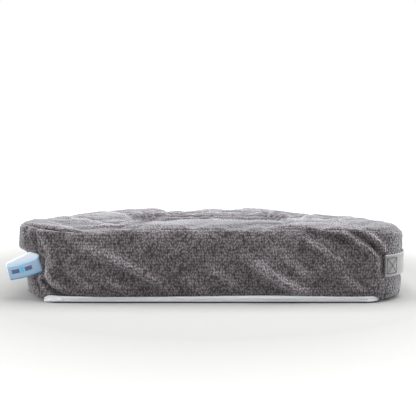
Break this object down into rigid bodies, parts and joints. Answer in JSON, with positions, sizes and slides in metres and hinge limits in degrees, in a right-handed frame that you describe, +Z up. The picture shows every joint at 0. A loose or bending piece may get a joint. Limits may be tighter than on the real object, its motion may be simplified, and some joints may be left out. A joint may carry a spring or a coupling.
{
  "type": "pressure relief mattress",
  "caption": "Compact foam pressure relief pad in a loose plush zip-off cover, with a sunken centre, a folded side label and a webbing carry strap.",
  "frame": {"origin": "middle of the flat resting face", "axes": "+X to the strap side along the width, +Y from the zip side to the back, +Z up"},
  "size_m": [0.6985, 0.4805, 0.124],
  "materials": {
    "plush": "short curly plush pile, matt",
    "base_cloth": "dark woven base cloth, matt",
    "liner_cloth": "thin knitted liner, matt",
    "elastic": "braided elastic, matt",
    "firm_foam": "firm open-cell foam, matt",
    "soft_foam": "soft viscoelastic foam, matt",
    "zip_tape": "woven polyester zip tape, satin",
    "zip_coil": "nylon coil, satin",
    "slider_enamel": "white enamelled zinc, satin",
    "label_ribbon": "satin-woven ribbon, slight sheen",
    "webbing": "plain woven webbing, matt",
    "thread": "twisted polyester thread, matt"
  },
  "bodies": {
    "pad": {"base_foam": "firm_foam", "surround_foam": "firm_foam", "relief_foam": "soft_foam", "liner_upper": "liner_cloth", "liner_lower": "liner_cloth", "cover_top": "plush", "cover_well": "plush", "cover_front_band": "plush", "cover_rear_band": "plush", "cover_base": "base_cloth", "well_elastic": "elastic", "zip_tape_upper": "zip_tape", "zip_tape_lower": "zip_tape", "zip_coil_upper": "zip_coil", "zip_coil_lower": "zip_coil", "zip_top_stops": "zip_coil", "zip_bottom_stop": "zip_coil", "side_label": "label_ribbon", "strap_front_end": "webbing", "strap_front_lead": "webbing", "strap_rear_lead": "webbing", "strap_rear_end": "webbing", "strap_front_stitching": "thread", "strap_rear_stitching": "thread", "strap_front_patch": "liner_cloth", "strap_rear_patch": "liner_cloth"},
    "carry_handle": {"strap_grip": "webbing"},
    "slider": {"zip_slider": "slider_enamel"},
    "pull": {"zip_pull": "slider_enamel"}
  },
  "joints": [
    {"name": "strap_swing", "type": "hinge", "parent": "pad", "child": "carry_handle", "pos_m": [0.338, 0, 0.062], "axis": [0, -1, 0], "range_deg": [-35, 35], "deforming": ["strap_front_lead", "strap_rear_lead"]},
    {"name": "zip_travel", "type": "slide", "parent": "pad", "child": "slider", "axis": [1, 0, 0], "range_m": [0, 0.514]},
    {"name": "pull_swing", "type": "hinge", "parent": "slider", "child": "pull", "pos_m": [-0.257, -0.23885, 0.006], "axis": [0, 0, 1], "range_deg": [0, 180]}
  ]
}
